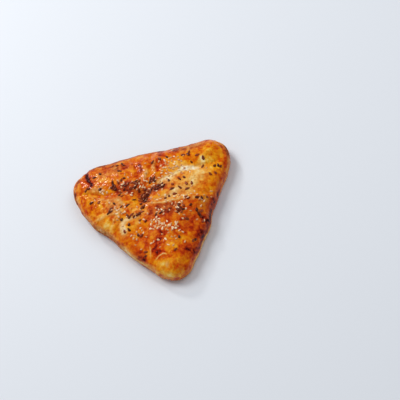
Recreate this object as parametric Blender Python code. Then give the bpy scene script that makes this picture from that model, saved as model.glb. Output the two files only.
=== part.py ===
"""A baked triangular samosa: one parcel of puff dough lying on its flat base.

Three flaps are folded over onto the top, where they meet a little left of the middle.
The parcel is one solid. Its plan is a rounded triangle, its edge a rolled wall, and its top a
low dome with the flaps' swells, the valleys between them and the lips where one overlaps another.

The frame is +Z up, with the origin on the base. One corner points to -Y, towards the front.
"""

import bmesh
import bpy
import numpy as np

MM = 0.001

# Plan: three corner circles, each by its direction from the middle in degrees and its radius.
TIP_SPAN = 150 * MM
CORNERS = {
    "right": (30, 25 * MM),
    "left": (150, 31 * MM),
    "front": (270, 22 * MM),
}
# Where the plan departs from straight sides: direction in degrees, half width, amount outwards.
SIDE_SWELLS = {
    "right corner, back": (46, 7, -1.2 * MM),
    "back dip": (62, 14, -2.4 * MM),
    "back left belly": (95, 12, 0.8 * MM),
    "left corner knuckle": (149, 6, 1.8 * MM),
    "left corner hollow": (166, 6, -2.4 * MM),
    "left corner, front": (186, 12, 2.2 * MM),
    "front left belly": (224, 18, 1.5 * MM),
    "front corner, left": (260, 7, -2.2 * MM),
    "front corner, right": (284, 10, -1.0 * MM),
    "front right belly": (311, 10, 2.2 * MM),
    "right waist": (334, 9, -1.0 * MM),
}
# The wall's unevenness, as waves around it: how many, amount outwards, where they start.
WALL_WAVES = ((11, 0.30 * MM, 40), (17, 0.25 * MM, 205), (27, 0.16 * MM, 110))

# Wall: it rolls out from the flat base to the waist, then back in to the shoulder.
BASE_INSET = 6.0 * MM
WAIST_HEIGHT = 8.0 * MM
SHOULDER_INSET = 12 * MM
SHOULDER_HEIGHT = 19 * MM
ROLL_POWER = 2.3

# Top
SIDE_DISTANCE = 56.5 * MM
DOME_RISE = 8.5 * MM
DOME_REACH = 27 * MM
FOLD_CENTRE = (-12 * MM, 5 * MM)
# Swells and hollows of the flaps: centre, half widths along and across, turn in degrees, rise.
TOP_SWELLS = {
    "back flap": ((2, 40), (44, 9), 0, 2.0),
    "back flap, left part": ((-34, 30), (17, 9), 12, 1.5),
    "right corner": ((56, 31), (14, 10), 20, 2.0),
    "left corner": ((-62, 26), (10, 12), 0, 1.4),
    "left flap": ((-42, -8), (22, 13), -50, 2.4),
    "right flap": ((26, -22), (30, 15), 20, 2.8),
    "front corner": ((0, -62), (13, 20), 0, 2.0),
    "middle pit": ((-12, 5), (10, 8), 0, -2.6),
    "back hollow": ((9, 32), (4, 6), 80, -1.2),
}
# Seams and folds: points along the line, depth and half width of the valley, and the lip, which
# lifts the surface to the left of the line, or to its right where it is below zero.
SEAMS = {
    "left seam": (((-78, 30), (-62, 21), (-49, 15), (-33, 12), (-12, 5)), 1.6, 4.5, -1.3),
    "right seam": (((-12, 5), (2, 12), (20, 18), (40, 21), (62, 23), (80, 34)), 2.8, 7.5, 0.6),
    "front seam": (((-12, 5), (-17, -12), (-19, -34), (-17, -60), (-6, -94)), 0.7, 5.0, 0.2),
    "side fold": (((-15, -5), (-26, -12), (-36, -19), (-48, -34)), 0.9, 5.0, 0.2),
    "right fold": (((-12, -6), (4, -8), (22, -8), (42, -12), (60, -12)), 0.9, 3.0, -1.3),
    "back pleat": (((6, 54), (4, 40), (3, 28), (-4, 16)), 0.9, 3.2, 0.7),
    "left pleat": (((-14, 50), (-11, 36), (-10, 22)), 0.8, 3.2, 0.5),
}
LIP_EDGE = 2.0 * MM
LIP_REACH = 11 * MM
# The lips die away where the flaps run together.
LIPS_MEET = 15 * MM

# Mesh density. Each side of the plan has two stretches, from a corner to the side's middle.
STRETCH_STEPS = 28
PLAN_SAMPLES = 1440
BASE_ROWS = 4
SHOULDER_ROWS = 7
SEAM_STEPS = 16
WELD_GAP = 0.001 * MM

CRUST_COLOUR = (0.72, 0.36, 0.07, 1)
CRUST_ROUGHNESS = 0.42


def along_length(points, count):
    """Points spaced evenly along a line, without its last point."""
    length = np.insert(np.cumsum(np.linalg.norm(np.diff(points, axis=0), axis=1)), 0, 0)
    wanted = np.linspace(0, length[-1], count, endpoint=False)
    return np.stack([np.interp(wanted, length, points[:, axis]) for axis in (0, 1)], axis=1)


def closed(loop):
    return np.vstack([loop, loop[:1]])


def outward(loop, reach=1):
    """The directions that point out of a counter-clockwise loop, judged some points each way."""
    along = np.roll(loop, -reach, axis=0) - np.roll(loop, reach, axis=0)
    out = np.stack([along[:, 1], -along[:, 0]], axis=1)
    return out / np.linalg.norm(out, axis=1, keepdims=True)


def bearing(points):
    return np.degrees(np.arctan2(points[:, 1], points[:, 0])) % 360


def plan_outline():
    """The waist seen from above: the hull of the corner circles, with the swells of its sides."""
    directions = np.radians([angle for angle, _ in CORNERS.values()])
    radii = np.array([radius for _, radius in CORNERS.values()])
    to_centres = TIP_SPAN / np.sqrt(3) - radii
    centres = to_centres[:, None] * np.stack([np.cos(directions), np.sin(directions)], axis=1)
    turn = np.linspace(0, 2 * np.pi, PLAN_SAMPLES, endpoint=False)
    facing = np.stack([np.cos(turn), np.sin(turn)], axis=1)
    nearest = np.argmax(facing @ centres.T + radii, axis=1)
    hull = centres[nearest] + radii[nearest, None] * facing
    loop = along_length(closed(hull), PLAN_SAMPLES)
    swell = np.zeros(PLAN_SAMPLES)
    for angle, half_width, amount in SIDE_SWELLS.values():
        apart = (bearing(loop) - angle + 180) % 360 - 180
        swell += amount * np.exp(-((apart / half_width) ** 2))
    return loop + swell[:, None] * outward(loop)


def in_stretches(loop):
    """The loop resampled evenly from each corner to the next side's middle, and on to a corner."""
    facing = bearing(loop)
    starts = [np.abs(facing - angle).argmin() for angle in range(30, 390, 60)]
    stretches = []
    for start, end in zip(starts, starts[1:] + starts[:1]):
        steps = np.arange(start, start + (end - start) % len(loop) + 1) % len(loop)
        stretches.append(along_length(loop[steps], STRETCH_STEPS))
    return np.vstack(stretches)


def smooth_line(points):
    """A Catmull-Rom curve through a seam's points, as short straight steps."""
    knots = np.array(points, float) * MM
    knots = np.vstack([2 * knots[0] - knots[1], knots, 2 * knots[-1] - knots[-2]])
    t = np.linspace(0, 1, SEAM_STEPS, endpoint=False)[:, None]
    curve = []
    for a, b, c, d in zip(knots, knots[1:], knots[2:], knots[3:]):
        bend = (2 * a - 5 * b + 4 * c - d) * t**2 + (3 * b - a - 3 * c + d) * t**3
        curve.append(b + ((c - a) * t + bend) / 2)
    return np.vstack([*curve, knots[-2:-1]])


def side_of(line, points):
    """Each point's distance from a line, positive to the left of it."""
    starts = line[:-1]
    runs = np.diff(line, axis=0)
    to_points = points[:, None] - starts
    share = np.clip((to_points * runs).sum(2) / (runs**2).sum(1), 0, 1)
    gaps = to_points - share[..., None] * runs
    distances = np.linalg.norm(gaps, axis=2)
    rows = np.arange(len(points))
    nearest = distances.argmin(1)
    run, gap = runs[nearest], gaps[rows, nearest]
    left = run[:, 0] * gap[:, 1] - run[:, 1] * gap[:, 0] > 0
    return np.where(left, 1, -1) * distances[rows, nearest]


def swell_at(points, centre, half_widths, turn, rise):
    """A smooth mound, or a hollow where rise is below zero."""
    turn = np.radians(turn)
    away = points - np.array(centre) * MM
    along = away @ [np.cos(turn), np.sin(turn)] / (half_widths[0] * MM)
    across = away @ [-np.sin(turn), np.cos(turn)] / (half_widths[1] * MM)
    return rise * MM * np.exp(-(along**2 + across**2))


def seam_at(points, line, depth, half_width, lip):
    """A seam's valley, and the lip of the flap that lies over the other."""
    side = side_of(smooth_line(line), points)
    valley = -depth * MM * np.exp(-((side / (half_width * MM)) ** 2))
    from_centre = np.linalg.norm(points - FOLD_CENTRE, axis=1)
    strength = lip * MM * (1 - np.exp(-((from_centre / LIPS_MEET) ** 2)))
    return valley + strength * np.tanh(side / LIP_EDGE) * np.exp(-np.abs(side) / LIP_REACH)


def top_height(points, roll=1, fade=1):
    """Height of the top over points in the plan. On the wall's roll both shares are below 1."""
    facing = np.radians([angle - 180 for angle, _ in CORNERS.values()])
    to_sides = SIDE_DISTANCE - points @ [np.cos(facing), np.sin(facing)]
    dome = DOME_RISE * (1 - np.exp(-((to_sides / DOME_REACH) ** 2))).prod(axis=1)
    swells = sum(swell_at(points, *swell) for swell in TOP_SWELLS.values())
    seams = sum(seam_at(points, *seam) for seam in SEAMS.values())
    shoulder = (SHOULDER_HEIGHT - WAIST_HEIGHT) * roll
    return WAIST_HEIGHT + shoulder + fade * (dome + swells + seams)


def wall_loops():
    """The wall's cross sections as loops of points, from the base up to the shoulder."""
    waist = in_stretches(plan_outline())
    out = outward(waist, STRETCH_STEPS // 4)
    around = np.linspace(0, 360, len(waist), endpoint=False)
    waves = sum(
        amount * np.sin(np.radians(count * around + start)) for count, amount, start in WALL_WAVES
    )
    loops = []
    for turn in np.linspace(np.pi / 2, 0, BASE_ROWS, endpoint=False):
        reach = np.cos(turn) ** (2 / ROLL_POWER)
        height = WAIST_HEIGHT * (1 - np.sin(turn) ** (2 / ROLL_POWER))
        flat = waist + (waves * reach - BASE_INSET * (1 - reach))[:, None] * out
        loops.append(np.column_stack([flat, np.full(len(flat), height)]))
    for turn in np.linspace(0, np.pi / 2, SHOULDER_ROWS):
        reach = np.cos(turn) ** (2 / ROLL_POWER)
        roll = np.sin(turn) ** (2 / ROLL_POWER)
        flat = waist - SHOULDER_INSET * (1 - reach) * out
        height = top_height(flat, roll, (1 - reach) ** 2 * (1 + 2 * reach))
        loops.append(np.column_stack([flat + (waves * reach)[:, None] * out, height]))
    return loops


def top_patches(shoulder):
    """Three four-sided nets over the top, one to a corner, which meet at the fold centre."""
    centre = np.array(FOLD_CENTRE)
    share = np.linspace(0, 1, STRETCH_STEPS + 1)[:, None]
    u, v = share[:, None], share[None]
    steps = np.arange(STRETCH_STEPS + 1)
    count = len(shoulder)
    patches = []
    for corner in range(0, count, 2 * STRETCH_STEPS):
        ahead = shoulder[(corner + STRETCH_STEPS - steps) % count, :2]
        behind = shoulder[(corner - STRETCH_STEPS + steps) % count, :2]
        from_ahead = centre + share * (ahead[0] - centre)
        from_behind = centre + share * (behind[0] - centre)
        flat = (1 - v) * from_ahead[:, None] + v * behind[:, None]
        flat = flat + (1 - u) * from_behind[None] + u * ahead[None]
        flat = flat - (1 - u) * (1 - v) * centre - u * v * ahead[-1]
        flat = flat - u * (1 - v) * ahead[0] - (1 - u) * v * behind[0]
        height = top_height(flat.reshape(-1, 2)).reshape(flat.shape[:2])
        patches.append(np.dstack([flat, height]))
    return patches


def crust_material():
    material = bpy.data.materials.new("baked_crust")
    material.use_nodes = True
    shader = material.node_tree.nodes["Principled BSDF"]
    shader.inputs["Base Color"].default_value = CRUST_COLOUR
    shader.inputs["Roughness"].default_value = CRUST_ROUGHNESS
    shader.inputs["Metallic"].default_value = 0
    return material


def net(skin, points):
    """Four-sided faces over a grid of points."""
    rows = [[skin.verts.new(point) for point in row] for row in points]
    for here, after in zip(rows, rows[1:]):
        for corner in zip(here, here[1:], after[1:], after):
            skin.faces.new(corner)
    return rows


def make_pastry():
    """Wall, top and flat base as one closed skin."""
    loops = wall_loops()
    skin = bmesh.new()
    wall = net(skin, [closed(loop) for loop in loops])
    skin.faces.new(wall[0][:-1])
    for patch in top_patches(loops[-1]):
        net(skin, patch)
    bmesh.ops.remove_doubles(skin, verts=skin.verts, dist=WELD_GAP)
    bmesh.ops.recalc_face_normals(skin, faces=skin.faces)
    mesh = bpy.data.meshes.new("pastry")
    skin.to_mesh(mesh)
    skin.free()
    mesh.shade_smooth()
    mesh.materials.append(crust_material())
    pastry = bpy.data.objects.new("pastry", mesh)
    bpy.context.scene.collection.objects.link(pastry)


for leftover in list(bpy.data.objects):
    bpy.data.objects.remove(leftover, do_unlink=True)
make_pastry()
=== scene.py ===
# A baked triangular samosa: an egg-washed crust with its folds and blisters, white sesame, dark seeds.
import math

import bmesh
import bpy
import numpy as np
from mathutils import Matrix, Vector


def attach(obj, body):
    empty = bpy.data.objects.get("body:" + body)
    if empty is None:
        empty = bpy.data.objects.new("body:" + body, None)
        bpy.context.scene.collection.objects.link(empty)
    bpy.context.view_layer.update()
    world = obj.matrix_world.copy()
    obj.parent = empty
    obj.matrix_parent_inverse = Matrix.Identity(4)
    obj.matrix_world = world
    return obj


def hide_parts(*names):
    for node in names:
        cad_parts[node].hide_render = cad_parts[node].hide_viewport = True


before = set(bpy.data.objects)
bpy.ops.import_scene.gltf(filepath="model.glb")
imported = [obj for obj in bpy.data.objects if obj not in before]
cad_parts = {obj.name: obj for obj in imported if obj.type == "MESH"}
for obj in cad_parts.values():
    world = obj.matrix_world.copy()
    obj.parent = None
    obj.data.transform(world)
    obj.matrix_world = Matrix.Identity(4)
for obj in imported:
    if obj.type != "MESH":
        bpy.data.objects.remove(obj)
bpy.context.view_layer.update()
mm = 0.001
print("frame loaded")


class Wire:
    # A socket in a node tree: sums on it add Math nodes, and node() adds any other kind.
    def __init__(self, tree, socket=None):
        self.tree = tree
        self.socket = socket

    def node(self, kind, settings=None, sockets=None, out=0):
        made = self.tree.nodes.new(kind)
        for name, value in (settings or {}).items():
            if name == "stops":
                setStops(made.color_ramp.elements, value)
            else:
                setattr(made, name, value)
        for key, value in (sockets or {}).items():
            if isinstance(value, Wire):
                self.tree.links.new(value.socket, made.inputs[key])
            else:
                made.inputs[key].default_value = value
        return Wire(self.tree, made.outputs[out])

    def maths(self, operation, *values, clamp=False):
        settings = {"operation": operation, "use_clamp": clamp}
        return self.node("ShaderNodeMath", settings, dict(enumerate(values)))

    def __add__(self, other):
        return self.maths("ADD", self, other)

    def __sub__(self, other):
        return self.maths("SUBTRACT", self, other)

    def __rsub__(self, other):
        return self.maths("SUBTRACT", other, self)

    def __mul__(self, other):
        return self.maths("MULTIPLY", self, other)

    __radd__ = __add__
    __rmul__ = __mul__

    def clamped(self):
        return self.maths("ADD", self, 0, clamp=True)

    def blend(self, first, second):
        # from the first colour to the second as this value goes from 0 to 1
        mixed = {0: self, 6: first, 7: second}
        return self.node("ShaderNodeMix", {"data_type": "RGBA"}, mixed, out=2)


def setStops(elements, stops):
    while len(elements) > 1:
        elements.remove(elements[-1])
    for index, (place, colour) in enumerate(stops):
        stop = elements[0] if index == 0 else elements.new(place)
        stop.position = place
        stop.color = colour


def screenColour(red, green, blue):
    # 0 to 255 as seen on a screen, into the linear values that Blender works in
    return tuple((part / 255) ** 2.2 for part in (red, green, blue)) + (1,)


def newMaterial(name):
    material = bpy.data.materials.new(name)
    material.use_nodes = True
    shader = material.node_tree.nodes["Principled BSDF"]
    return material, shader, Wire(material.node_tree)


def feed(shader, key, wire):
    wire.tree.links.new(wire.socket, shader.inputs[key])


noiseTable = np.random.default_rng(11).uniform(-1, 1, (32, 32, 32))


def softNoise(points, size, shift=0):
    # smooth hills and hollows about as wide as size, between -1 and 1
    grid = points / size + shift * np.array([7.31, 3.17, 5.77])
    cell = np.floor(grid).astype(int)
    part = grid - cell
    part = part * part * (3 - 2 * part)
    total = np.zeros(len(points))
    for corner in np.ndindex(2, 2, 2):
        weight = np.where(corner, part, 1 - part).prod(axis=1)
        at = (cell + corner) % len(noiseTable)
        total += weight * noiseTable[at[:, 0], at[:, 1], at[:, 2]]
    return total


def layeredNoise(points, size, shift=0, layers=3):
    layered = [softNoise(points, size / 2**k, shift + k) / 2**k for k in range(layers)]
    return sum(layered) / sum(1 / 2**k for k in range(layers))


def smoothStep(value, low, high):
    share = np.clip((value - low) / (high - low), 0, 1)
    return share * share * (3 - 2 * share)


# the parcel's form, the same as the solid that it covers, in millimetres
parcel = {
    "tipSpan": 150,
    "corners": {"right": (30, 25), "left": (150, 31), "front": (270, 22)},  # direction, radius
    "sideSwells": {  # direction, half width in degrees, amount outwards
        "right corner, back": (46, 7, -1.2),
        "back dip": (62, 14, -2.4),
        "back left belly": (95, 12, 0.8),
        "left corner knuckle": (149, 6, 1.8),
        "left corner hollow": (166, 6, -2.4),
        "left corner, front": (186, 12, 2.2),
        "front left belly": (224, 18, 1.5),
        "front corner, left": (260, 7, -2.2),
        "front corner, right": (284, 10, -1.0),
        "front right belly": (311, 10, 2.2),
        "right waist": (334, 9, -1.0),
    },
    "wallWaves": ((11, 0.30, 40), (17, 0.25, 205), (27, 0.16, 110)),  # count, amount, start
    "baseInset": 6.0,
    "waistHeight": 8.0,
    "shoulderInset": 12,
    "shoulderHeight": 19,
    "rollPower": 2.3,
    "sideDistance": 56.5,
    "domeRise": 8.5,
    "domeReach": 27,
    "foldCentre": (-12, 5),
    "topSwells": {  # centre, half widths, turn, rise
        "back flap": ((2, 40), (44, 9), 0, 2.0),
        "back flap, left part": ((-34, 30), (17, 9), 12, 1.5),
        "right corner": ((56, 31), (14, 10), 20, 2.0),
        "left corner": ((-62, 26), (10, 12), 0, 1.4),
        "left flap": ((-42, -8), (22, 13), -50, 2.4),
        "right flap": ((26, -22), (30, 15), 20, 2.8),
        "front corner": ((0, -62), (13, 20), 0, 2.0),
        "middle pit": ((-12, 5), (10, 8), 0, -2.6),
        "back hollow": ((9, 32), (4, 6), 80, -1.2),
    },
    "seams": {  # points, depth, half width, lip
        "left seam": (((-78, 30), (-62, 21), (-49, 15), (-33, 12), (-12, 5)), 1.6, 4.5, -1.3),
        "right seam": (((-12, 5), (2, 12), (20, 18), (40, 21), (62, 23), (80, 34)), 2.8, 7.5, 0.6),
        "front seam": (((-12, 5), (-17, -12), (-19, -34), (-17, -60), (-6, -94)), 0.7, 5.0, 0.2),
        "side fold": (((-15, -5), (-26, -12), (-36, -19), (-48, -34)), 0.9, 5.0, 0.2),
        "right fold": (((-12, -6), (4, -8), (22, -8), (42, -12), (60, -12)), 0.9, 3.0, -1.3),
        "back pleat": (((6, 54), (4, 40), (3, 28), (-4, 16)), 0.9, 3.2, 0.7),
        "left pleat": (((-14, 50), (-11, 36), (-10, 22)), 0.8, 3.2, 0.5),
    },
    "lipEdge": 1.1,
    "lipReach": 11,
    "lipsMeet": 15,
    "topLevels": (25.2, 27.6),
    # mesh
    "stretchSteps": 144,  # from a corner to the middle of a side
    "planSamples": 4320,
    "baseRows": 12,
    "shoulderRows": 22,
    "seamSteps": 10,
    "underSteps": 48,
}


def alongLength(points, count):
    length = np.insert(np.cumsum(np.linalg.norm(np.diff(points, axis=0), axis=1)), 0, 0)
    wanted = np.linspace(0, length[-1], count, endpoint=False)
    return np.stack([np.interp(wanted, length, points[:, axis]) for axis in (0, 1)], axis=1)


def outward(loop, reach):
    along = np.roll(loop, -reach, axis=0) - np.roll(loop, reach, axis=0)
    out = np.stack([along[:, 1], -along[:, 0]], axis=1)
    return out / np.linalg.norm(out, axis=1, keepdims=True)


def bearing(points):
    return np.degrees(np.arctan2(points[:, 1], points[:, 0])) % 360


def planOutline():
    directions = np.radians([angle for angle, radius in parcel["corners"].values()])
    radii = np.array([radius for angle, radius in parcel["corners"].values()])
    toCentres = parcel["tipSpan"] / math.sqrt(3) - radii
    centres = toCentres[:, None] * np.stack([np.cos(directions), np.sin(directions)], axis=1)
    turn = np.linspace(0, 2 * np.pi, parcel["planSamples"], endpoint=False)
    facing = np.stack([np.cos(turn), np.sin(turn)], axis=1)
    nearest = np.argmax(facing @ centres.T + radii, axis=1)
    hull = centres[nearest] + radii[nearest, None] * facing
    loop = alongLength(np.vstack([hull, hull[:1]]), parcel["planSamples"])
    swell = np.zeros(len(loop))
    for angle, halfWidth, amount in parcel["sideSwells"].values():
        apart = (bearing(loop) - angle + 180) % 360 - 180
        swell += amount * np.exp(-((apart / halfWidth) ** 2))
    return loop + swell[:, None] * outward(loop, 3)


def inStretches(loop):
    # evenly spaced from each corner to the next side's middle, and on to the next corner
    facing = bearing(loop)
    starts = [np.abs(facing - angle).argmin() for angle in range(30, 390, 60)]
    stretches = []
    for start, end in zip(starts, starts[1:] + starts[:1]):
        steps = np.arange(start, start + (end - start) % len(loop) + 1) % len(loop)
        stretches.append(alongLength(loop[steps], parcel["stretchSteps"]))
    return np.vstack(stretches)


def smoothLine(points):
    knots = np.array(points, float)
    knots = np.vstack([2 * knots[0] - knots[1], knots, 2 * knots[-1] - knots[-2]])
    t = np.linspace(0, 1, parcel["seamSteps"], endpoint=False)[:, None]
    curve = []
    for a, b, c, d in zip(knots, knots[1:], knots[2:], knots[3:]):
        bend = (2 * a - 5 * b + 4 * c - d) * t**2 + (3 * b - a - 3 * c + d) * t**3
        curve.append(b + ((c - a) * t + bend) / 2)
    return np.vstack([*curve, knots[-2:-1]])


def sideOf(line, points):
    # distance from a line, positive to the left of it, and how far along it the nearest point is
    nearest = np.full(len(points), np.inf)
    side = np.zeros(len(points))
    share = np.zeros(len(points))
    runs = np.diff(line, axis=0)
    for index, (start, run) in enumerate(zip(line, runs)):
        away = points - start
        part = np.clip(away @ run / (run @ run), 0, 1)
        gap = away - part[:, None] * run
        distance = np.hypot(gap[:, 0], gap[:, 1])
        closer = distance < nearest
        left = run[0] * gap[:, 1] - run[1] * gap[:, 0] > 0
        nearest = np.where(closer, distance, nearest)
        side = np.where(closer, np.where(left, distance, -distance), side)
        share = np.where(closer, (index + part) / len(runs), share)
    return side, share


def reachAt(points, centre, halfWidths, turn):
    # 0 at the centre of an oval and 1 on its edge, squared
    turn = math.radians(turn)
    away = points[:, :2] - centre
    along = away @ [math.cos(turn), math.sin(turn)] / halfWidths[0]
    across = away @ [-math.sin(turn), math.cos(turn)] / halfWidths[1]
    return along**2 + across**2


def swellAt(points, centre, halfWidths, turn, rise=1):
    return rise * np.exp(-reachAt(points, centre, halfWidths, turn))


def seamAt(points, line, depth, halfWidth, lip):
    side = sideOf(smoothLine(line), points)[0]
    valley = -depth * np.exp(-((side / halfWidth) ** 2))
    fromCentre = np.linalg.norm(points - parcel["foldCentre"], axis=1)
    strength = lip * (1 - np.exp(-((fromCentre / parcel["lipsMeet"]) ** 2)))
    step = np.tanh(side / parcel["lipEdge"]) * np.exp(-np.abs(side) / parcel["lipReach"])
    return valley + strength * step


def topHeight(points, roll=1, fade=1):
    facing = np.radians([angle - 180 for angle, radius in parcel["corners"].values()])
    toSides = parcel["sideDistance"] - points @ [np.cos(facing), np.sin(facing)]
    dome = parcel["domeRise"] * (1 - np.exp(-((toSides / parcel["domeReach"]) ** 2))).prod(axis=1)
    swells = sum(swellAt(points, *swell) for swell in parcel["topSwells"].values())
    seams = sum(seamAt(points, *seam) for seam in parcel["seams"].values())
    shoulder = (parcel["shoulderHeight"] - parcel["waistHeight"]) * roll
    return parcel["waistHeight"] + shoulder + fade * (dome + swells + seams)


def wallLoops():
    waist = inStretches(planOutline())
    out = outward(waist, parcel["stretchSteps"] // 4)
    around = np.linspace(0, 360, len(waist), endpoint=False)
    waves = sum(
        amount * np.sin(np.radians(count * around + start))
        for count, amount, start in parcel["wallWaves"]
    )
    power = 2 / parcel["rollPower"]
    loops = []
    for turn in np.linspace(np.pi / 2, 0, parcel["baseRows"], endpoint=False):
        reach = np.cos(turn) ** power
        height = parcel["waistHeight"] * (1 - np.sin(turn) ** power)
        flat = waist + (waves * reach - parcel["baseInset"] * (1 - reach))[:, None] * out
        loops.append(np.column_stack([flat, np.full(len(flat), height)]))
    for turn in np.linspace(0, np.pi / 2, parcel["shoulderRows"]):
        reach = np.cos(turn) ** power
        flat = waist - parcel["shoulderInset"] * (1 - reach) * out
        height = topHeight(flat, np.sin(turn) ** power, (1 - reach) ** 2 * (1 + 2 * reach))
        loops.append(np.column_stack([flat + (waves * reach)[:, None] * out, height]))
    return loops


def cornerPatches(loop, steps):
    # three four-sided nets inside a loop, one to a corner, which meet at the fold centre
    centre = np.array(parcel["foldCentre"], float)
    share = np.linspace(0, 1, steps + 1)[:, None]
    u, v = share[:, None], share[None]
    walk = np.arange(steps + 1)
    patches = []
    for corner in range(0, len(loop), 2 * steps):
        ahead = loop[(corner + steps - walk) % len(loop), :2]
        behind = loop[(corner - steps + walk) % len(loop), :2]
        fromAhead = centre + share * (ahead[0] - centre)
        fromBehind = centre + share * (behind[0] - centre)
        flat = (1 - v) * fromAhead[:, None] + v * behind[:, None]
        flat = flat + (1 - u) * fromBehind[None] + u * ahead[None]
        flat = flat - (1 - u) * (1 - v) * centre - u * v * ahead[-1]
        patches.append(flat - u * (1 - v) * ahead[0] - (1 - u) * v * behind[0])
    return patches


def addNet(points, faces, net):
    rows, columns = net.shape[:2]
    index = sum(len(block) for block in points) + np.arange(rows * columns).reshape(rows, columns)
    points.append(net.reshape(-1, 3))
    quads = np.stack([index[:-1, :-1], index[:-1, 1:], index[1:, 1:], index[1:, :-1]], axis=-1)
    faces.extend(quads.reshape(-1, 4).tolist())
    return index


def crustMesh():
    loops = wallLoops()
    steps, underSteps = parcel["stretchSteps"], parcel["underSteps"]
    points, faces = [], []
    wall = addNet(points, faces, np.stack([np.vstack([loop, loop[:1]]) for loop in loops]))
    for flat in cornerPatches(loops[-1], steps):
        height = topHeight(flat.reshape(-1, 2)).reshape(flat.shape[:2])
        addNet(points, faces, np.dstack([flat, height]))
    # underside: a coarser net, and a row of faces that takes the fine edge down to it
    every = steps // underSteps
    rim = loops[0][::every]
    inner = rim - [0, 0, 0] - 0.04 * (rim - rim.mean(axis=0)) * [1, 1, 0]
    for flat in cornerPatches(inner, underSteps):
        addNet(points, faces, np.dstack([flat, np.zeros(flat.shape[:2])])[:, ::-1])
    start = sum(len(block) for block in points)
    points.append(np.vstack([inner, inner[:1]]))
    edge = wall[0]
    for k in range(len(rim)):
        fine = edge[k * every : (k + 1) * every + 1].tolist()
        middle = len(fine) // 2
        here, after = start + k, start + k + 1
        for a, b in zip(fine[:middle], fine[1 : middle + 1]):
            faces.append([b, a, here])
        faces.append([fine[middle], here, after])
        for a, b in zip(fine[middle:], fine[middle + 1 :]):
            faces.append([b, a, after])
    mesh = bpy.data.meshes.new("crust")
    mesh.from_pydata(np.vstack(points) * mm, [], faces)
    weld = bmesh.new()
    weld.from_mesh(mesh)
    bmesh.ops.remove_doubles(weld, verts=weld.verts, dist=0.001 * mm)
    bmesh.ops.recalc_face_normals(weld, faces=weld.faces)
    weld.to_mesh(mesh)
    weld.free()
    mesh.shade_smooth()
    return mesh


def meshPoints(mesh):
    flat = np.empty(len(mesh.vertices) * 3)
    mesh.vertices.foreach_get("co", flat)
    return flat.reshape(-1, 3) / mm


def meshNormals(mesh):
    flat = np.empty(len(mesh.vertices) * 3)
    mesh.vertex_normals.foreach_get("vector", flat)
    return flat.reshape(-1, 3)


def setPoints(mesh, points):
    mesh.vertices.foreach_set("co", (points * mm).ravel())
    mesh.update()


def setAttribute(mesh, name, values):
    mesh.attributes.new(name, "FLOAT", "POINT").data.foreach_set("value", values)


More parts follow.
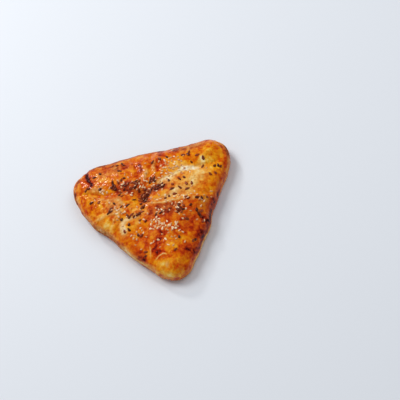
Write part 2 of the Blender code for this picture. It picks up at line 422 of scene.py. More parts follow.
# what covers the form: relief in millimetres, and how brown and how dry (free of egg wash) it is; in a few
# named places below, the browner share is painted shade and the paler, drier share paints highlights and
# sheen
crust = {
    "sink": 0.6,  # the relief rises from this far under the solid's surface
    "above": 0.9,  # and may stand this far above it where the form is lower
    "topDrop": 0.6,  # while the highest parts lie lower, to leave room for seeds
    "deepest": 2.4,
    "bakeLevel": 0.56,
    "dryLevel": 0.01,
    "lumps": (10, 0.50),  # size, rise
    "puckers": (3.6, 0.22),
    "grain": (1.5, 0.04),
    "patches": ((7, 0.05), (3.8, 0.10), (2.0, 0.06)),  # size, how much browner or paler
    "dryPatches": (5, 0.04),
    "ridgeSizes": (9, 6),
    "ridgeWidth": 0.10,
    "ridgeRise": 0.65,
    "ridgeTone": (-0.10, 0.16),
    "ridgeZones": {  # where ridges stand between hollows: centre, half widths, turn, strength
        "left flap": ((-50, -10), (20, 16), -50, 1.0),
        "left corner": ((-62, 22), (12, 20), 0, 0.7),
        "left valley": ((-30, -2), (14, 10), 0, 0.7),
        "back flap": ((-30, 40), (24, 10), 0, 0.5),
        "front corner": ((-8, -80), (18, 12), 0, 0.7),
        "right corner": ((56, 20), (16, 14), 0, 0.3),
        "front": ((-10, -48), (24, 14), 0, 0.4),
    },
    "blisters": 900,
    "blisterRadius": (0.7, 2.0),
    "blisterRise": (0.12, 0.42),
    "blisterZones": {  # where they crowd
        "front corner": ((4, -82), (16, 14), 0, 1.0),
        "left corner": ((-66, 10), (10, 16), 0, 0.5),
        "right edge": ((44, -26), (8, 34), -25, 0.5),
        "right corner": ((50, -6), (16, 10), -30, 0.6),
    },
    "flakeSize": 9,
    "flakeSteps": 5,
    "flakeRise": 0.14,
    "layerGap": 1.6,
    "layerRise": 0.26,
    "creases": {  # points, half width, rise, how much browner, how much drier
        "slit": (((-61.5, 57), (-61.5, 49), (-60.5, 42), (-58.5, 36), (-57, 32)), 2.6, -1.6, 0.46, 0.2),
        "slit, dark": (((-61.5, 50), (-60.8, 44), (-60, 39)), 1.8, -0.5, 0.16, 0.3),
        "slit, lip": (((-57, 44), (-55, 38), (-53, 31)), 1.2, 0.1, 0.08, 0.3),
        # the groove is a little browner, partly as painted shade in the crease above the flap's edge; the
        # ridge below it is paler dough, partly a painted highlight on its lit edge
        "left groove, with painted shade": (
            ((-64, 23), (-58, 21), (-53, 19), (-48, 16.5), (-43, 14.5)), 1.6, -0.6, 0.04, 0.0,
        ),
        "left ridge, with painted highlight": (
            ((-62, 20), (-57, 17), (-52, 13), (-47, 9.5), (-42, 7.5), (-36, 7)), 1.4, 0.6, -0.05, 0.6,
        ),
        "above the groove": (((-60, 27), (-54, 25), (-48, 22.5)), 1.8, 0.4, 0.08, 1.0),
        "left rim, outer": (((-67, 47), (-75, 36), (-77, 22), (-73, 4)), 1.0, -0.5, 0.16, 0.8),
        "left rim, pale": (((-66, 42), (-72, 33), (-73.5, 20), (-69, 4)), 1.0, 0.3, -0.06, 0.3),
        "left rim, inner": (((-65, 38), (-70, 28), (-71, 16), (-67, 4)), 1.0, -0.3, 0.12, 0.0),
        "left flap ridge": (((-64, -5), (-57, -6.5), (-50, -6.5), (-43, -8.5)), 1.3, 0.5, -0.16, 0.5),
        "left flap ridge, lower": (((-48, -20), (-43, -13), (-38, -9), (-33, -8)), 1.3, 0.4, -0.14, 0.6),
        "left pleat": (((-34, 12), (-35, 6), (-33, 0), (-33, -6)), 1.6, 0.5, -0.02, 1.0),
        "right rim": (((68, 45), (73, 38), (73, 28), (70, 15), (66, 4)), 1.2, -0.5, 0.18, 0.1),
        # painted reflection: the pale pinkish line along the right rim stands for light reflected at its edge
        "right rim, painted sheen": (((71, 44), (76, 36), (76, 26), (73, 14)), 1.2, 0.2, 0.0, 0.6),
        "flap edge": (
            ((-8, -8), (-3, -11), (3, -13), (12, -13), (20, -14), (30, -15)), 1.1, 0.6, -0.22, 0.8,
        ),
        "under the flap edge": (((-4, -15), (6, -17), (18, -18), (30, -19)), 2.4, -0.5, 0.08, 0.3),
        "front crack": (((-17.4, -51), (-16.8, -54), (-17.6, -58), (-18.6, -63)), 0.7, 0.4, -0.30, 0.9),
        "front hook": (((-15, -66.3), (-11, -65.2), (-6, -64.2), (-3.5, -66.5)), 0.55, 0.4, -0.42, 1.0),
        "brown stripe": (((-21, 52), (-20, 42), (-20, 31)), 1.6, -0.2, 0.06, 0.1),
        "gold stripe": (((-16, 46), (-15.5, 38), (-16, 28)), 1.8, 0.3, -0.12, 0.1),
        "red crease": (((-11, 37), (-11.5, 30), (-14, 23)), 2.4, -0.1, 0.15, 0.0),
        "crease bank": (((-8.5, 42), (-7.4, 34), (-7.6, 24)), 2.2, -0.3, 0.31, 0.5),
        # the pale wrinkle and the pit's pale lip are paler dough, partly a painted highlight on their lit
        # flanks; the pit is browner, partly as painted shade on its flank turned from the light
        "pale wrinkle, painted highlight": (((-3, 32), (-4.5, 25), (-8, 17)), 1.6, 0.4, -0.06, 1.0),
        "gold wrinkle": (((1, 38), (0.5, 32), (0, 25)), 1.8, -0.3, 0.0, 0.0),
        "pit lip, painted highlight": (((8, 39), (5, 35), (3.8, 30), (4, 23)), 1.4, 0.6, 0.0, 1.1),
        "pit": (((10, 37), (8.5, 33), (8, 28), (8.8, 22.5)), 2.2, -0.9, 0.24, 0.0),
        "valley streak": (((5, 13), (13, 15.5), (22, 17.5), (31, 20), (41, 20.5)), 2.0, 0.2, -0.28, 0.3),
        "golden streak": (((47, 25), (53, 29.5), (60, 33.5), (68, 39)), 1.7, 0.2, -0.12, 0.0),
        "right shoulder": (
            ((68, 4), (58, -14), (49, -31), (39, -48), (29, -62), (20, -74)), 6.0, 0.0, 0.21, 0.1,
        ),
        "back flap, tan": (((-33, 51), (-31.5, 43), (-30, 36)), 2.6, 0.2, 0.0, 0.7),
        "back flap, gold": (((-48, 47), (-45, 39), (-41, 31)), 2.4, 0.2, -0.14, 0.2),
        "back flap, brown": (((-38, 53), (-38, 45), (-36, 38)), 1.8, -0.2, 0.10, 0.0),
        "back flap, orange": (((-26, 52), (-25.5, 44), (-24, 36)), 1.8, -0.1, 0.06, 0.0),
    },
    "zones": {  # on the top: centre, half widths, turn, how much browner, how much drier
        "front": ((8, -36), (36, 19), 10, 0.12, 0.06),
        "front left": ((-26, -47), (15, 9), -50, 0.09, 0.0),
        "front red": ((-9, -52), (13, 5), 60, 0.25, 0.0),
        "front red, low": ((-9, -62), (5, 4), 0, 0.17, 0.0),
        "front middle": ((2, -21), (17, 6), -5, 0.13, 0.5),
        "front gold": ((4, -59), (4.5, 6), 0, -0.18, 0.0),
        "front gold, upper": ((3, -48), (4, 5), 10, -0.12, 0.0),
        "front gold, left": ((-23.5, -46), (5, 5), -20, -0.16, 0.0),
        "front corner": ((-10, -75), (11, 7), -25, -0.2, 0.0),
        # painted highlight: a pale pinkish spot where a glint of light lies on the front corner
        "front corner, painted glint": ((-5, -75), (2.6, 2.6), 0, -0.02, 0.5),
        "front tip": ((-2, -84), (9, 4), 0, -0.2, 0.0),
        "dark right of the front": ((21, -63), (6, 7), 50, 0.12, 0.1),
        "dark knot": ((37, -34), (4, 6), 20, 0.04, 0.0),
        "valley": ((25, 26), (11, 9), 0, -0.24, 0.2),
        "valley, left": ((14, 13), (9, 5), 8, -0.08, 0.6),
        # partly paler dough, partly a painted highlight: the sheen of light on the glaze in the valley
        "white strip, painted sheen": ((38, 20), (8, 3.5), -10, -0.32, 1.2),
        "valley end": ((47, 12), (8, 7), 20, -0.2, 0.3),
        "valley, lower": ((38, 3), (5, 7), 0, -0.26, 0.2),
        "valley foot": ((32, -8), (4.5, 6), 10, -0.16, 0.2),
        "valley, lower left": ((18, -3), (10, 3.5), 10, -0.22, 0.5),
        "flap over the front": ((10, -9), (20, 4), 0, -0.06, 0.5),
        "golden band": ((35, 13.5), (5, 1.8), 8, -0.06, 0.1),
        "orange by the pit": ((14, 31), (3.5, 5), -10, 0.22, -0.05),
        "orange spot": ((18, 21), (2.6, 2), 0, 0.0, -0.1),
        "orange right": ((38, 31), (6, 3.2), 0, 0.13, -0.05),
        "golden corner": ((58, 23), (7, 12), 0, -0.2, 0.0),
        "right edge": ((50, -6), (10, 9), -25, -0.1, 0.0),
        "right edge, low": ((44, -18), (6, 7), -25, -0.06, 0.15),
        "left flap": ((-56, -2), (8, 5), 0, 0.04, 0.0),
        "left flap, gold": ((-52, -14), (6, 5), -40, -0.2, 0.0),
        "left flap, orange": ((-41, -36), (5, 6), -40, 0.03, 0.0),
        # pale dough, and partly painted glare: a patch of light on the glaze
        "cream": ((-37.3, -28), (3.6, 6.6), 12, -0.40, 1.1),
        "cream, upper": ((-33, -19), (5.5, 3), 15, -0.26, 1.1),
        "gold in front": ((-28, -28), (5, 4), 0, -0.2, 0.0),
        "gold left of the centre": ((-25, -6), (5, 4.5), 0, -0.14, 0.05),
        "pale left of the centre": ((-22, -12), (5, 2.2), 10, -0.22, 0.3),
        "below the row": ((-25, -18), (10, 2.5), 5, 0.1, 1.0),
        "left of the centre": ((-42, 0), (7, 8), 0, 0.05, 0.6),
        "middle": ((-24, 17), (13, 8), -12, 0.26, 0.45),
        "fold centre": ((1, 6), (13, 4.5), 10, 0.4, 0.85),
        "fold centre, low": ((-11, 0), (4, 8), 0, 0.42, 0.9),
        "fold centre, high": ((1, 17), (3.5, 4), 0, 0.26, 1.0),
        "back flap": ((-36, 44), (16, 8), 0, 0.17, 0.3),
        "back flap, orange": ((-17, 42), (9, 7), 0, 0.10, 0.0),
        "back gold": ((-49, 38), (6, 5), 0, 0.07, 0.2),
        "back red": ((30, 46), (9, 4), -5, 0.18, 0.6),
        "back orange": ((14, 49), (3, 6), 0, 0.24, 0.4),
        "back right": ((46, 45), (12, 5), 0, 0.16, 0.9),
        # browner along the back edge, and their full dry share paints the pinkish sheen of light reflected at
        # the grazing back edge
        "back edge, left, painted sheen": ((-38, 57), (34, 5), 0, 0.22, 1.0),
        "back edge, right, painted sheen": ((30, 55), (40, 4.5), -3, 0.34, 1.0),
        "left corner, outer": ((-80, 26), (4.5, 20), 6, 0.18, 1.0),
        "left corner, gold": ((-63, 15), (5, 3.5), 30, -0.12, 0.0),
        "left corner, orange": ((-68, 17), (3, 5), 30, 0.06, 0.0),
        "bright valley": ((27, 4), (20, 12), 15, -0.06, 0.3),
        "pale below the row": ((-22, -22), (3, 5), 0, -0.18, 0.2),
        "valley, upper end": ((49, 24), (4, 5), -30, -0.3, 0.25),
        "orange over the left corner": ((-66, 9), (5, 4), 0, 0.14, 0.0),
        # browner in the left groove, partly as painted shade in the crease
        "orange in the groove": ((-46, 13), (5, 3), -20, 0.1, 0.1),
        "red front right": ((13, -67), (8, 5), 0, 0.23, 0.0),
        "red front left": ((-11, -68), (5, 3), 0, 0.22, 0.0),
        "front left, brown edge": ((-29, -58), (4, 7), 35, 0.32, 0.3),
        "slit end": ((-58.5, 32), (3, 3.5), 0, 0.30, 0.1),
        "front red, middle": ((-4, -57), (5, 4), 0, 0.08, 0.0),
        "between the front sesame": ((0, -43), (5, 4), 0, 0.12, 0.0),
        "front right": ((25, -32), (9, 7), 0, 0.06, 0.0),
        "front right, low": ((29, -46), (6, 7), 30, 0.10, 0.0),
        "orange, right back": ((35, 36.5), (8, 3), 0, 0.10, 0.0),
        "orange behind the pit": ((20, 42), (5, 5), 0, 0.10, 0.0),
        "left corner, back": ((-71, 45), (6, 5), 30, 0.2, 0.6),
        "right, low": ((31, -48), (16, 6), 64, 0.04, 0.0),
        "front tip, red": ((6, -80.5), (5, 2.5), 10, 0.16, 0.0),
        "between the right seeds": ((51, 29), (3, 3), 0, -0.18, 0.2),
        "pale right of the valley": ((47, 5), (3, 3), 0, -0.22, 0.1),
        "pale at the flap edge": ((34, -16), (4, 2), 15, -0.22, 0.5),
        "right corner, outer": ((77, 36), (4, 12), 0, 0.2, 0.5),
        "pale beside the fold centre": ((6, 13), (4, 2.6), 20, -0.22, 0.3),
    },
    "wallZones": {  # direction and half width in degrees, height, half height, browner, drier
        "right wall": (328, 36, 11, 8, 0.18, 0.25),
        "right waist": (305, 22, 6.0, 2.2, -0.30, 0.6),
        "right foot": (300, 30, 1.0, 2.0, -0.10, 0.5),
        "left edge": (203, 22, 11, 4, 0.1, 0.9),
        "front left strip": (238, 17, 10, 3.5, -0.30, 0.7),
        "front left line": (215, 50, 6.0, 1.6, 0.28, 0.3),
        "left wall": (170, 30, 5, 6, 0.1, 0.8),
        "back wall": (90, 60, 6, 8, 0.12, 1.0),
    },
    "sesame": {  # where it fell: centre, half widths, turn, how many
        "front": ((-3, -35.5), (8, 5), -10, 34),
        "front, right": ((8, -40.5), (5.5, 4), -20, 15),
        "under the flap edge": ((8, -20), (16, 5), 0, 18),
        "flap edge": ((24, -12), (12, 3), 0, 14),
        "flap": ((0, -7), (10, 6), 0, 8),
        "valley": ((22, 26), (10, 8), 0, 42),
        "valley, left": ((9, 15), (8, 6), 0, 12),
        "fold centre": ((-8, 17), (8, 7), 0, 18),
        "middle": ((-26, 17), (11, 8), 0, 17),
        "left": ((-47, 21), (8, 6), 0, 10),
        "left, low": ((-36, -6), (7, 7), 0, 16),
        "front, low": ((-1, -52), (13, 8), 0, 13),
        "left front": ((-27, -38), (9, 6), 0, 12),
        "right": ((40, -14), (9, 8), 0, 8),
        "right knot": ((19, -27), (5, 6), 0, 8),
        "all over": ((-2, -2), (44, 38), 0, 34),
    },
    "darkSeeds": {
        "fold centre": ((-11, 2), (3.5, 6.5), 0, 17),
        "fold centre, right": ((2, 6.5), (7, 2), 8, 11),
        "above the centre": ((0.5, 16.5), (2.4, 1.8), 0, 5),
        "left knot": ((-37, 22), (1.6, 3.2), 10, 6),
        "beside the knot": ((-27.5, 26.5), (3.5, 1.4), 10, 3),
        "middle": ((-23, 17), (6, 5), 0, 7),
        "left of the middle": ((-32.5, 11), (1.2, 2.4), 0, 3),
        "middle, right": ((-14.5, 18.5), (2, 1.6), 0, 3),
        "back, left": ((-30, 47), (5, 1.6), 0, 4),
        "back": ((-28.5, 39), (1.6, 2), 0, 2),
        "behind the corner": ((-50.5, 43), (3, 1.4), 35, 2),
        "left edge": ((-63, 29.5), (2.2, 1.2), 0, 3),
        "pale band": ((-50, 24), (1, 1), 0, 1),
        "left corner": ((-57.5, 11), (3, 1), -25, 2),
        "left flap": ((-42.5, 0.5), (3, 2.6), 0, 2),
        "left flap, outer": ((-45.5, -5), (2, 1.2), 0, 3),
        "left of the centre": ((-30, -1.5), (3, 3), 60, 2),
        "row, left": ((-28, -15.5), (1.8, 1.3), 0, 3),
        "row": ((-20, -16.8), (3.6, 0.9), 15, 5),
        "row, end": ((-14, -11), (1.5, 1), 30, 2),
        "left flap, lower": ((-36, -17), (1, 1), 0, 1),
        "in the cream": ((-34, -26), (6.5, 2.4), 20, 3),
        "left front": ((-17, -25), (3, 2), -30, 2),
        "front, left": ((-23.5, -37.5), (1.8, 1.4), 0, 2),
        "front, low": ((-22, -57), (1.5, 1.5), 0, 2),
        "front": ((4, -65), (2, 2), 0, 1),
        "front, upper": ((11, -52.5), (1.5, 1), 0, 1),
        "front, right": ((24, -56), (1.2, 0.8), 0, 2),
        "right, low": ((23, -37), (1.5, 1), 0, 1),
        "right edge": ((35.5, -33), (1.4, 5), 0, 5),
        "beside the centre": ((-19.5, -1), (1.2, 2), 0, 1),
        "right knot": ((19, -25), (2.4, 4), -20, 9),
        "right of the knot": ((29, -22), (1.5, 1.5), 0, 1),
        "under the flap": ((3, -24), (6, 2), 0, 3),
        "flap edge": ((29, -14.5), (2, 2), 0, 2),
        "flap edge, right": ((42, -16.5), (3.6, 1), 0, 3),
        "flap": ((12, -8), (6, 1.4), 0, 3),
        "valley, low": ((29, -2), (7, 3), 10, 4),
        "valley": ((24, 6), (7, 4), 20, 4),
        "valley, high": ((14, 12), (1.2, 0.8), 0, 1),
        "right edge, back": ((57.5, 8), (3, 1), 0, 2),
        "right corner": ((63, 16), (2.6, 1), -20, 3),
        "right": ((48, 26), (7, 4), -30, 4),
        "back, right": ((39, 36), (4, 1.4), 15, 3),
        "behind the pit": ((12, 37.8), (8, 1.2), 0, 3),
    },
}


def zoneShare(points, zones):
    return np.clip(sum(swellAt(points, *zone) for zone in zones.values()), 0, 1)


def lumpField(points, normals):
    rise = sum(
        amount * layeredNoise(points, size, 1 + index)
        for index, (size, amount) in enumerate([crust["lumps"], crust["puckers"], crust["grain"]])
    )
    return rise, 0, 0


def patchField(points, normals):
    # browned patches with fairly sharp edges, and drier ones
    browner = sum(
        amount * np.tanh(4 * layeredNoise(points, size, 61 + 4 * index))
        for index, (size, amount) in enumerate(crust["patches"])
    )
    size, amount = crust["dryPatches"]
    return 0, browner, amount * np.tanh(3 * layeredNoise(points, size, 77))


def ridgeField(points, normals):
    # soft pale ridges between hollows where the egg wash pooled
    network = 0
    for index, size in enumerate(crust["ridgeSizes"]):
        hills = layeredNoise(points * [1, 1, 0.5], size, 81 + 4 * index, layers=2)
        network = np.maximum(network, np.exp(-((hills / crust["ridgeWidth"]) ** 2)))
    strength = zoneShare(points, crust["ridgeZones"]) * network
    tone, dry = crust["ridgeTone"]
    return crust["ridgeRise"] * strength, tone * strength, dry * strength


def blisterField(points, normals):
    # small blisters, each with a flat crown and a soft foot
    rng = np.random.default_rng(5)
    top = np.flatnonzero(normals[:, 2] > 0.1)
    crowding = 0.06 + zoneShare(points[top], crust["blisterZones"])
    rise = np.zeros(len(points))
    chosen = rng.choice(top, crust["blisters"], p=crowding / crowding.sum())
    for centre in points[chosen]:
        radius = rng.uniform(*crust["blisterRadius"])
        amount = rng.uniform(*crust["blisterRise"])
        near = np.flatnonzero(np.abs(points - centre).max(axis=1) < radius)
        away = np.linalg.norm(points[near] - centre, axis=1) / radius
        rise[near] = np.maximum(rise[near], amount * smoothStep(away, 1, 0.3))
    return rise, 0.1 * rise, 0


def flakeField(points, normals):
    # thin sheets of dough: a slow hilly field cut into steps with ragged edges
    ragged = points + 0.8 * np.stack([softNoise(points, 2.2, k) for k in (21, 22, 23)], axis=1)
    hill = (layeredNoise(ragged, crust["flakeSize"], 31) * 0.5 + 0.5) * crust["flakeSteps"]
    step = np.floor(hill) + smoothStep(hill - np.floor(hill), 0.0, 0.2)
    rise = crust["flakeRise"] * (step - crust["flakeSteps"] / 2)
    return rise, 0.03 * (step % 2 - 0.5), 0


def layerField(points, normals):
    # edges of the dough's layers on the wall
    wall = smoothStep(normals[:, 2], 0.7, 0.2) * smoothStep(points[:, 2], 0.2, 2.0)
    warp = 1.1 * layeredNoise(points * [1, 1, 2.2], 7, 41)
    layers = np.sin(2 * np.pi * (points[:, 2] + warp) / crust["layerGap"]) * wall
    return crust["layerRise"] * layers, -0.06 * layers, 0.10 * layers


def creaseField(points, normals):
    fields = np.zeros((3, len(points)))
    top = normals[:, 2] > 0
    flat = points[:, :2] + 0.5 * np.stack([softNoise(points, 3, k) for k in (71, 72)], axis=1)
    for line, halfWidth, *amounts in crust["creases"].values():
        side, share = sideOf(smoothLine(line), flat)
        taper = np.sin(np.pi * np.clip(share, 0.04, 0.96)) ** 0.6
        fields += np.outer(amounts, np.exp(-((side / halfWidth) ** 2)) * taper * top)
    return fields


def zoneField(points, normals):
    browner = np.full(len(points), crust["bakeLevel"])
    drier = np.full(len(points), crust["dryLevel"])
    shift = 2.4 * np.stack([layeredNoise(points, 6, k, layers=4) for k in (51, 55)], axis=1)
    flat = points[:, :2] + shift
    top = smoothStep(normals[:, 2], 0.0, 0.4)
    for centre, halfWidths, turn, brown, dry in crust["zones"].values():
        share = np.exp(-(reachAt(flat, centre, halfWidths, turn) ** 1.5)) * top
        browner += brown * share
        drier += dry * share
    wall = smoothStep(normals[:, 2], 0.95, 0.55)
    for direction, halfAngle, height, halfHeight, brown, dry in crust["wallZones"].values():
        apart = (bearing(points) - direction + 180) % 360 - 180
        level = (points[:, 2] + 0.5 * shift[:, 0] - height) / halfHeight
        share = np.exp(-((apart / halfAngle) ** 4) - level**2) * wall
        browner += brown * share
        drier += dry * share
    return 0, browner, drier


def seedPlaces(mesh, clusters, tries):
    # every seed of a cluster goes to the one of a few places near it that is farthest from the rest
    rng = np.random.default_rng(9)
    places = np.full((1, 2), 1000.0)
    for centre, halfWidths, turn, count in clusters.values():
        turn = math.radians(turn)
        along = np.array([math.cos(turn), math.sin(turn)]) * halfWidths[0]
        across = np.array([-math.sin(turn), math.cos(turn)]) * halfWidths[1]
        for found in np.clip(rng.normal(0, 0.62, (count, tries, 2)), -1.3, 1.3):
            found = centre + found @ np.stack([along, across])
            gaps = np.linalg.norm(found[:, None] - places, axis=2).min(axis=1)
            places = np.vstack([places, found[gaps.argmax()]])
    points, normals = meshPoints(mesh), meshNormals(mesh)
    top = normals[:, 2] > 0.3
    points, normals = points[top], normals[top]
    lying, facing = [], []
    for place in places[1:]:
        near = np.linalg.norm(points[:, :2] - place, axis=1) < 1.2
        if near.any():
            lying.append([*place, points[near, 2].mean()])
            facing.append(normals[near].mean(axis=0))
    return np.array(lying), np.array(facing)


def dressCrust(mesh):
    points, normals = meshPoints(mesh), meshNormals(mesh)
    fields = (lumpField, patchField, ridgeField, blisterField, flakeField, layerField, creaseField, zoneField)
    rise, browner, drier = (sum(parts) for parts in zip(*(field(points, normals) for field in fields)))
    # what rises too far is pressed back: near the highest point it stays under the solid's surface
    sink = crust["sink"]
    high = smoothStep(points[:, 2], *parcel["topLevels"])
    most = sink + crust["above"] * smoothStep(normals[:, 2], 0.5, 0.85) * (1 - high)
    rise = np.where(rise > 0, most * np.tanh(rise / most), np.maximum(rise, -crust["deepest"]))
    rise -= sink + crust["topDrop"] * high
    under = normals[:, 2] < -0.9
    moved = points + np.where(under, 0, rise)[:, None] * normals
    moved[under, 2] += 0.15 * np.clip(layeredNoise(points[under], 6, 3), 0, 1)
    moved[:, 2] = np.maximum(moved[:, 2], 0)
    setPoints(mesh, moved)
    setAttribute(mesh, "bake", browner)
    setAttribute(mesh, "dry", np.clip(drier, 0, 1))


def crustMaterial():
    material, shader, tree = newMaterial("baked_crust")
    place = tree.node("ShaderNodeTexCoord", out="Object")
    bake = tree.node("ShaderNodeAttribute", {"attribute_name": "bake"}, out="Fac")
    dry = tree.node("ShaderNodeAttribute", {"attribute_name": "dry"}, out="Fac")
    specks = tree.node(
        "ShaderNodeTexNoise", None, {"Vector": place, "Scale": 650, "Detail": 3, "Roughness": 0.6}
    )
    pores = tree.node(
        "ShaderNodeTexNoise", None, {"Vector": place, "Scale": 1800, "Detail": 2, "Roughness": 0.5}
    )
    bent = tree.node(
        "ShaderNodeVectorMath",
        {"operation": "MULTIPLY_ADD"},
        {0: tree.node("ShaderNodeTexNoise", None, {"Vector": place, "Scale": 500}, out=1), 1: (0.003, 0.003, 0.003), 2: place},
    )
    bubbles = tree.node(
        "ShaderNodeTexVoronoi",
        {"feature": "SMOOTH_F1"},
        {"Vector": bent, "Scale": 380, "Smoothness": 0.4},
    )
    tone = bake + (specks - 0.5) * 0.26 + (pores - 0.5) * 0.08 + (bubbles - 0.42) * 0.12
    washed = [
        (0.00, screenColour(246, 222, 160)),
        (0.14, screenColour(240, 200, 108)),
        (0.28, screenColour(236, 172, 48)),
        (0.42, screenColour(230, 144, 12)),
        (0.54, screenColour(218, 116, 6)),
        (0.66, screenColour(204, 86, 4)),
        (0.78, screenColour(184, 56, 5)),
        (0.88, screenColour(144, 32, 12)),
        (1.00, screenColour(58, 14, 18)),
    ]
    dryStops = [
        (0.00, screenColour(240, 226, 198)),
        (0.30, screenColour(226, 188, 130)),
        (0.50, screenColour(210, 150, 82)),
        (0.70, screenColour(186, 106, 46)),
        (0.85, screenColour(146, 70, 36)),
        (1.00, screenColour(76, 32, 30)),
    ]
    glazed = tree.node("ShaderNodeValToRGB", {"stops": washed}, {"Fac": tone})
    plain = tree.node("ShaderNodeValToRGB", {"stops": dryStops}, {"Fac": tone})
    feed(shader, "Base Color", dry.blend(glazed, plain))
    feed(shader, "Roughness", dry * 0.20 + specks * 0.16 + 0.30)
    feed(shader, "Coat Weight", (1 - dry) * 0.46)
    shader.inputs["Specular IOR Level"].default_value = 0.08
    shader.inputs["Coat Roughness"].default_value = 0.09
    height = specks * 0.7 + pores * 0.3 - bubbles * 0.6
    bump = tree.node(
        "ShaderNodeBump", None, {"Height": height, "Strength": 0.7, "Distance": 0.5 * mm}
    )
    feed(shader, "Normal", bump)
    return material


mesh = crustMesh()
dressCrust(mesh)
mesh.materials.append(crustMaterial())
crustPiece = bpy.data.objects.new("crust", mesh)
bpy.context.scene.collection.objects.link(crustPiece)
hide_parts("pastry")
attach(crustPiece, "root")
print("crust made:", len(mesh.polygons), "faces")


def seedTree(name):
    # one kind of seed: a shaped seed on each place, turned and tilted, and real mesh at the end
    tree = bpy.data.node_groups.new(name, "GeometryNodeTree")
    face = tree.interface
    face.new_socket("Places", in_out="INPUT", socket_type="NodeSocketGeometry")
    for label in ("Length", "Width", "Thickness", "Taper", "Corners", "Tilt", "Heading", "Spread"):
        face.new_socket(label, in_out="INPUT", socket_type="NodeSocketFloat")
    face.new_socket("Seed", in_out="INPUT", socket_type="NodeSocketInt")
    face.new_socket("Finish", in_out="INPUT", socket_type="NodeSocketMaterial")
    face.new_socket("Seeds", in_out="OUTPUT", socket_type="NodeSocketGeometry")
    start = tree.nodes.new("NodeGroupInput")
    given = {socket.name: Wire(tree, socket) for socket in start.outputs if socket.name}
    made = Wire(tree)

    # one seed, its length along X
    ball = made.node("GeometryNodeMeshUVSphere", None, {"Segments": 10, "Rings": 7, "Radius": 1.0})
    place = made.node("GeometryNodeInputPosition")
    parts = made.node("ShaderNodeSeparateXYZ", None, {"Vector": place})
    x, y, z = [Wire(tree, socket) for socket in parts.socket.node.outputs]
    angle = made.maths("ARCTAN2", y, x)
    facet = 1 + made.maths("COSINE", angle * 3) * given["Corners"]
    slim = (1 - z * given["Taper"]) * facet * 0.5
    shaped = made.node(
        "ShaderNodeCombineXYZ",
        None,
        {
            "X": z * given["Length"] * 0.5,
            "Y": x * slim * given["Width"],
            "Z": (y * slim + 0.12) * given["Thickness"],
        },
    )
    grain = made.node("GeometryNodeSetPosition", None, {"Geometry": ball, "Position": shaped})
    smooth = made.node("GeometryNodeSetShadeSmooth", None, {"Geometry": grain})

    # how they lie
    facing = made.node(
        "GeometryNodeInputNamedAttribute", {"data_type": "FLOAT_VECTOR"}, {"Name": "facing"}
    )
    most = made.node(
        "ShaderNodeCombineXYZ", None, {"X": given["Tilt"], "Y": given["Tilt"], "Z": given["Spread"]}
    )
    least = made.node("ShaderNodeVectorMath", {"operation": "SCALE"}, {"Vector": most, "Scale": -1})
    spin = made.node(
        "FunctionNodeRandomValue",
        {"data_type": "FLOAT_VECTOR"},
        {"Min": least, "Max": most, "Seed": given["Seed"]},
    )
    heading = made.node("ShaderNodeCombineXYZ", None, {"Z": given["Heading"]})
    angles = made.node("ShaderNodeVectorMath", {"operation": "ADD"}, {0: spin, 1: heading})
    turned = made.node(
        "FunctionNodeAlignRotationToVector",
        {"axis": "Z"},
        {"Rotation": made.node("FunctionNodeEulerToRotation", None, {0: angles}), "Vector": facing},
    )
    tilted = made.node(
        "FunctionNodeRotateRotation",
        {"rotation_space": "LOCAL"},
        {
            "Rotation": turned,
            "Rotate By": made.node(
                "FunctionNodeEulerToRotation",
                None,
                {0: made.node("ShaderNodeVectorMath", {"operation": "MULTIPLY"}, {0: spin, 1: (1, 1, 0)})},
            ),
        },
    )
    size = made.node(
        "FunctionNodeRandomValue",
        {"data_type": "FLOAT_VECTOR"},
        {"Min": (0.76, 0.76, 0.8), "Max": (1.18, 1.18, 1.15), "Seed": given["Seed"]},
    )
    strewn = made.node(
        "GeometryNodeInstanceOnPoints",
        None,
        {"Points": given["Places"], "Instance": smooth, "Rotation": tilted, "Scale": size},
    )
    shade = made.node(
        "FunctionNodeRandomValue", {"data_type": "FLOAT"}, {"Seed": given["Seed"]}, out=1
    )
    marked = made.node(
        "GeometryNodeStoreNamedAttribute",
        {"data_type": "FLOAT", "domain": "INSTANCE"},
        {"Geometry": strewn, "Name": "shade", "Value": shade},
    )
    real = made.node("GeometryNodeRealizeInstances", None, {"Geometry": marked})
    finished = made.node(
        "GeometryNodeSetMaterial", None, {"Geometry": real, "Material": given["Finish"]}
    )
    end = tree.nodes.new("NodeGroupOutput")
    tree.links.new(finished.socket, end.inputs["Seeds"])
    return tree


def strew(name, tree, sizes, clusters, material):
    places, facing = seedPlaces(crustPiece.data, clusters, sizes["Tries"])
    spots = bpy.data.meshes.new(name + " places")
    spots.from_pydata(places * mm, [], [])
    spots.attributes.new("facing", "FLOAT_VECTOR", "POINT").data.foreach_set("vector", facing.ravel())
    carrier = bpy.data.objects.new(name + " carrier", spots)
    bpy.context.scene.collection.objects.link(carrier)
    modifier = carrier.modifiers.new("strew", "NODES")
    modifier.node_group = tree
    for item in tree.interface.items_tree:
        if item.in_out == "INPUT" and item.name in sizes:
            modifier[item.identifier] = sizes[item.name]
        if item.name == "Finish":
            modifier[item.identifier] = material
    graph = bpy.context.evaluated_depsgraph_get()
    seeds = bpy.data.meshes.new_from_object(carrier.evaluated_get(graph))
    seeds.name = name
    bpy.data.objects.remove(carrier, do_unlink=True)
    piece = bpy.data.objects.new(name, seeds)
    bpy.context.scene.collection.objects.link(piece)
    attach(piece, "root")
    print(name, "made:", len(seeds.polygons), "faces")
    return piece


sesame = {
    "Length": 2.9 * mm,
    "Width": 1.65 * mm,
    "Thickness": 0.9 * mm,
    "Taper": 0.38,
    "Corners": 0.0,
    "Tilt": 0.14,
    "Heading": 0.0,
    "Spread": math.pi,
    "Tries": 2,
    "Seed": 3,
}
darkSeeds = {
    "Length": 4.3 * mm,
    "Width": 2.4 * mm,
    "Thickness": 1.4 * mm,
    "Taper": 0.30,
    "Corners": 0.09,
    "Tilt": 0.14,
    "Heading": 0.9,
    "Spread": 1.3,
    "Tries": 9,
    "Seed": 8,
}


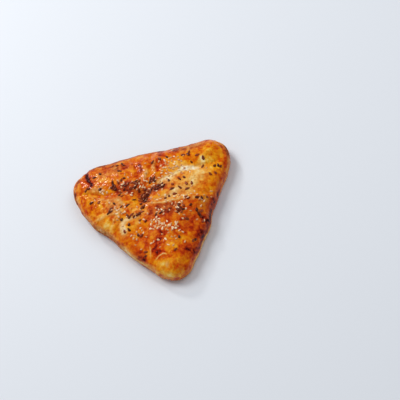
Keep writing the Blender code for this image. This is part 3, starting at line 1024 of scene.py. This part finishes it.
def seedMaterial(name, dark, pale, roughness):
    material, shader, tree = newMaterial(name)
    shade = tree.node("ShaderNodeAttribute", {"attribute_name": "shade"}, out="Fac")
    place = tree.node("ShaderNodeTexCoord", out="Object")
    fine = tree.node("ShaderNodeTexNoise", None, {"Vector": place, "Scale": 900, "Detail": 2})
    tone = (shade * shade * 0.8 + fine * 0.4 - 0.1).clamped()
    colour = tree.node("ShaderNodeValToRGB", {"stops": [(0, dark), (1, pale)]}, {"Fac": tone})
    feed(shader, "Base Color", colour)
    shader.inputs["Roughness"].default_value = roughness
    bump = tree.node(
        "ShaderNodeBump", None, {"Height": fine, "Strength": 0.4, "Distance": 0.1 * mm}
    )
    feed(shader, "Normal", bump)
    return material


seedNodes = seedTree("scattered seeds")
sesameFinish = seedMaterial(
    "white_sesame", screenColour(206, 132, 70), screenColour(255, 232, 190), 0.35
)
darkFinish = seedMaterial("dark_seed", screenColour(74, 26, 14), screenColour(158, 70, 34), 0.35)
strew("sesame", seedNodes, sesame, crust["sesame"], sesameFinish)
strew("dark_seeds", seedNodes, darkSeeds, crust["darkSeeds"], darkFinish)


studio = {
    "floorSize": 6.0,
    "floorColour": (0.745, 0.775, 0.82, 1),
    "skyColour": (0.92, 0.945, 0.985, 1),
    "skyStrength": 0.42,
    "distance": 1.6,
    "lights": {  # direction, size, power, whether it is seen as a highlight
        "key": ((-0.52, 0.42, 1.0), 0.7, 12.7, False),
        "window": ((-0.36, 0.78, 0.62), 0.2, 5.4, True),
        "fill": ((0.7, 0.2, 1.1), 1.0, 5.0, False),
    },
}


def makeFloor():
    bpy.ops.mesh.primitive_plane_add(size=studio["floorSize"])
    floor = bpy.context.object
    floor.name = "floor"
    material, shader, tree = newMaterial("pale_floor")
    shader.inputs["Base Color"].default_value = studio["floorColour"]
    shader.inputs["Roughness"].default_value = 0.6
    floor.data.materials.append(material)


def aimAt(thing, target):
    thing.rotation_euler = (target - thing.location).to_track_quat("-Z", "Y").to_euler()


def makeLight(name, direction, size, power, glossy):
    light = bpy.data.objects.new(name, bpy.data.lights.new(name, "AREA"))
    light.data.size = size
    light.data.energy = power
    light.visible_glossy = glossy
    light.location = Vector(direction).normalized() * studio["distance"]
    aimAt(light, Vector((0, 0, 0)))
    bpy.context.scene.collection.objects.link(light)


def makeCamera():
    camera = bpy.data.objects.new("camera", bpy.data.cameras.new("camera"))
    camera.data.lens = 107.4
    camera.data.sensor_width = 36
    right = (0.96071, -0.21956, -0.16981)
    up = (0.27678, 0.80360, 0.52690)
    back = (0.02077, -0.55319, 0.83279)
    turn = Matrix((right, up, back)).transposed().to_4x4()
    camera.matrix_world = Matrix.Translation((0.062147, -0.634945, 0.949436)) @ turn
    bpy.context.scene.collection.objects.link(camera)
    bpy.context.scene.camera = camera


makeFloor()
for name, settings in studio["lights"].items():
    makeLight(name, *settings)
world = bpy.data.worlds.new("studio")
world.use_nodes = True
world.node_tree.nodes["Background"].inputs["Color"].default_value = studio["skyColour"]
sky = Wire(world.node_tree)
glossy = sky.node("ShaderNodeLightPath", out="Is Glossy Ray")
feed(world.node_tree.nodes["Background"], "Strength", (1 - glossy) * studio["skyStrength"])
bpy.context.scene.world = world
bpy.context.scene.view_settings.view_transform = "Standard"
makeCamera()
print("studio made")
